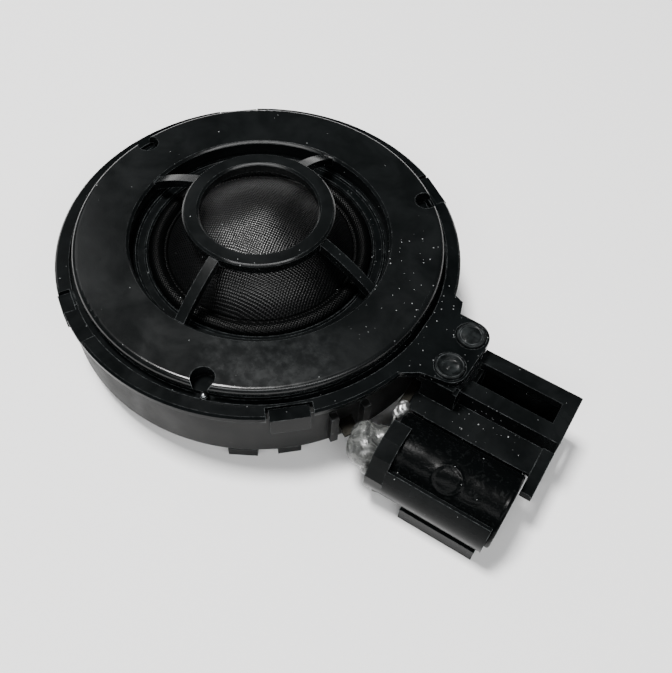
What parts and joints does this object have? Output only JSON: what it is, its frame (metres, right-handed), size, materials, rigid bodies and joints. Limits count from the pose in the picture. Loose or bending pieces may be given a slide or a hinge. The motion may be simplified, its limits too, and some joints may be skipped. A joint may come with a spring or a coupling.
{
  "type": "car tweeter",
  "caption": "Round soft-dome car tweeter with a raised guard ring on spokes and a side arm that holds a plug socket and a capacitor.",
  "frame": {"origin": "on the dome's axis, at the centre of the flat rear face", "axes": "+Z the way the dome faces, +X out along the side arm"},
  "size_m": [0.0746, 0.055, 0.0195],
  "materials": {
    "front_plastic": "satin moulded, finely grained",
    "carrier_plastic": "satin moulded",
    "case_plastic": "matt glass-filled",
    "arm_plastic": "satin moulded, dusty",
    "clamp_plastic": "satin",
    "bright_pin": "polished",
    "nickel_magnet": "nickel plated",
    "plated_steel": "zinc plated",
    "felt": "pressed felt",
    "copper": "enamelled copper",
    "brass_strip": "stamped, tinned ends",
    "can_aluminium": "drawn",
    "sleeve_film": "heat-shrunk film",
    "seal_rubber": "matt",
    "tinned_wire": "tinned",
    "hot_melt": "glossy, cloudy",
    "solder": "bright",
    "dome_cloth": "coated woven silk",
    "surround_cloth": "coated woven cloth",
    "former_aluminium": "thin foil"
  },
  "bodies": {
    "tweeter_body": {"front_guard_ring": "front_plastic", "carrier_flange": "carrier_plastic", "heat_stake_domed": "arm_plastic", "heat_stake_hollow": "arm_plastic", "locating_pin": "bright_pin", "rear_case": "case_plastic", "magnet_disc": "nickel_magnet", "pole_plate": "plated_steel", "damping_felt": "felt", "steel_pot": "plated_steel", "surround_clamp_ring": "clamp_plastic", "lead_out_wire_negative": "copper", "lead_out_wire_positive": "copper", "arm_bracket": "arm_plastic", "socket_shroud": "arm_plastic", "plug_strip_positive": "brass_strip", "plug_strip_negative": "brass_strip", "coil_feed_strip": "brass_strip", "capacitor_can": "can_aluminium", "capacitor_sleeve": "sleeve_film", "capacitor_seal": "seal_rubber", "capacitor_lead_near": "tinned_wire", "capacitor_lead_far": "tinned_wire", "hot_melt_bead": "hot_melt", "solder_joint": "solder"},
    "dome_assembly": {"soft_dome": "dome_cloth", "coil_former": "former_aluminium", "coil_winding": "copper", "surround_roll": "surround_cloth"}
  },
  "joints": [
    {"name": "dome_travel", "type": "slide", "parent": "tweeter_body", "child": "dome_assembly", "axis": [0, 0, 1], "range_m": [-0.0005, 0.0005], "stiffness_N_per_m": 2000, "deforming": ["surround_roll"]}
  ]
}
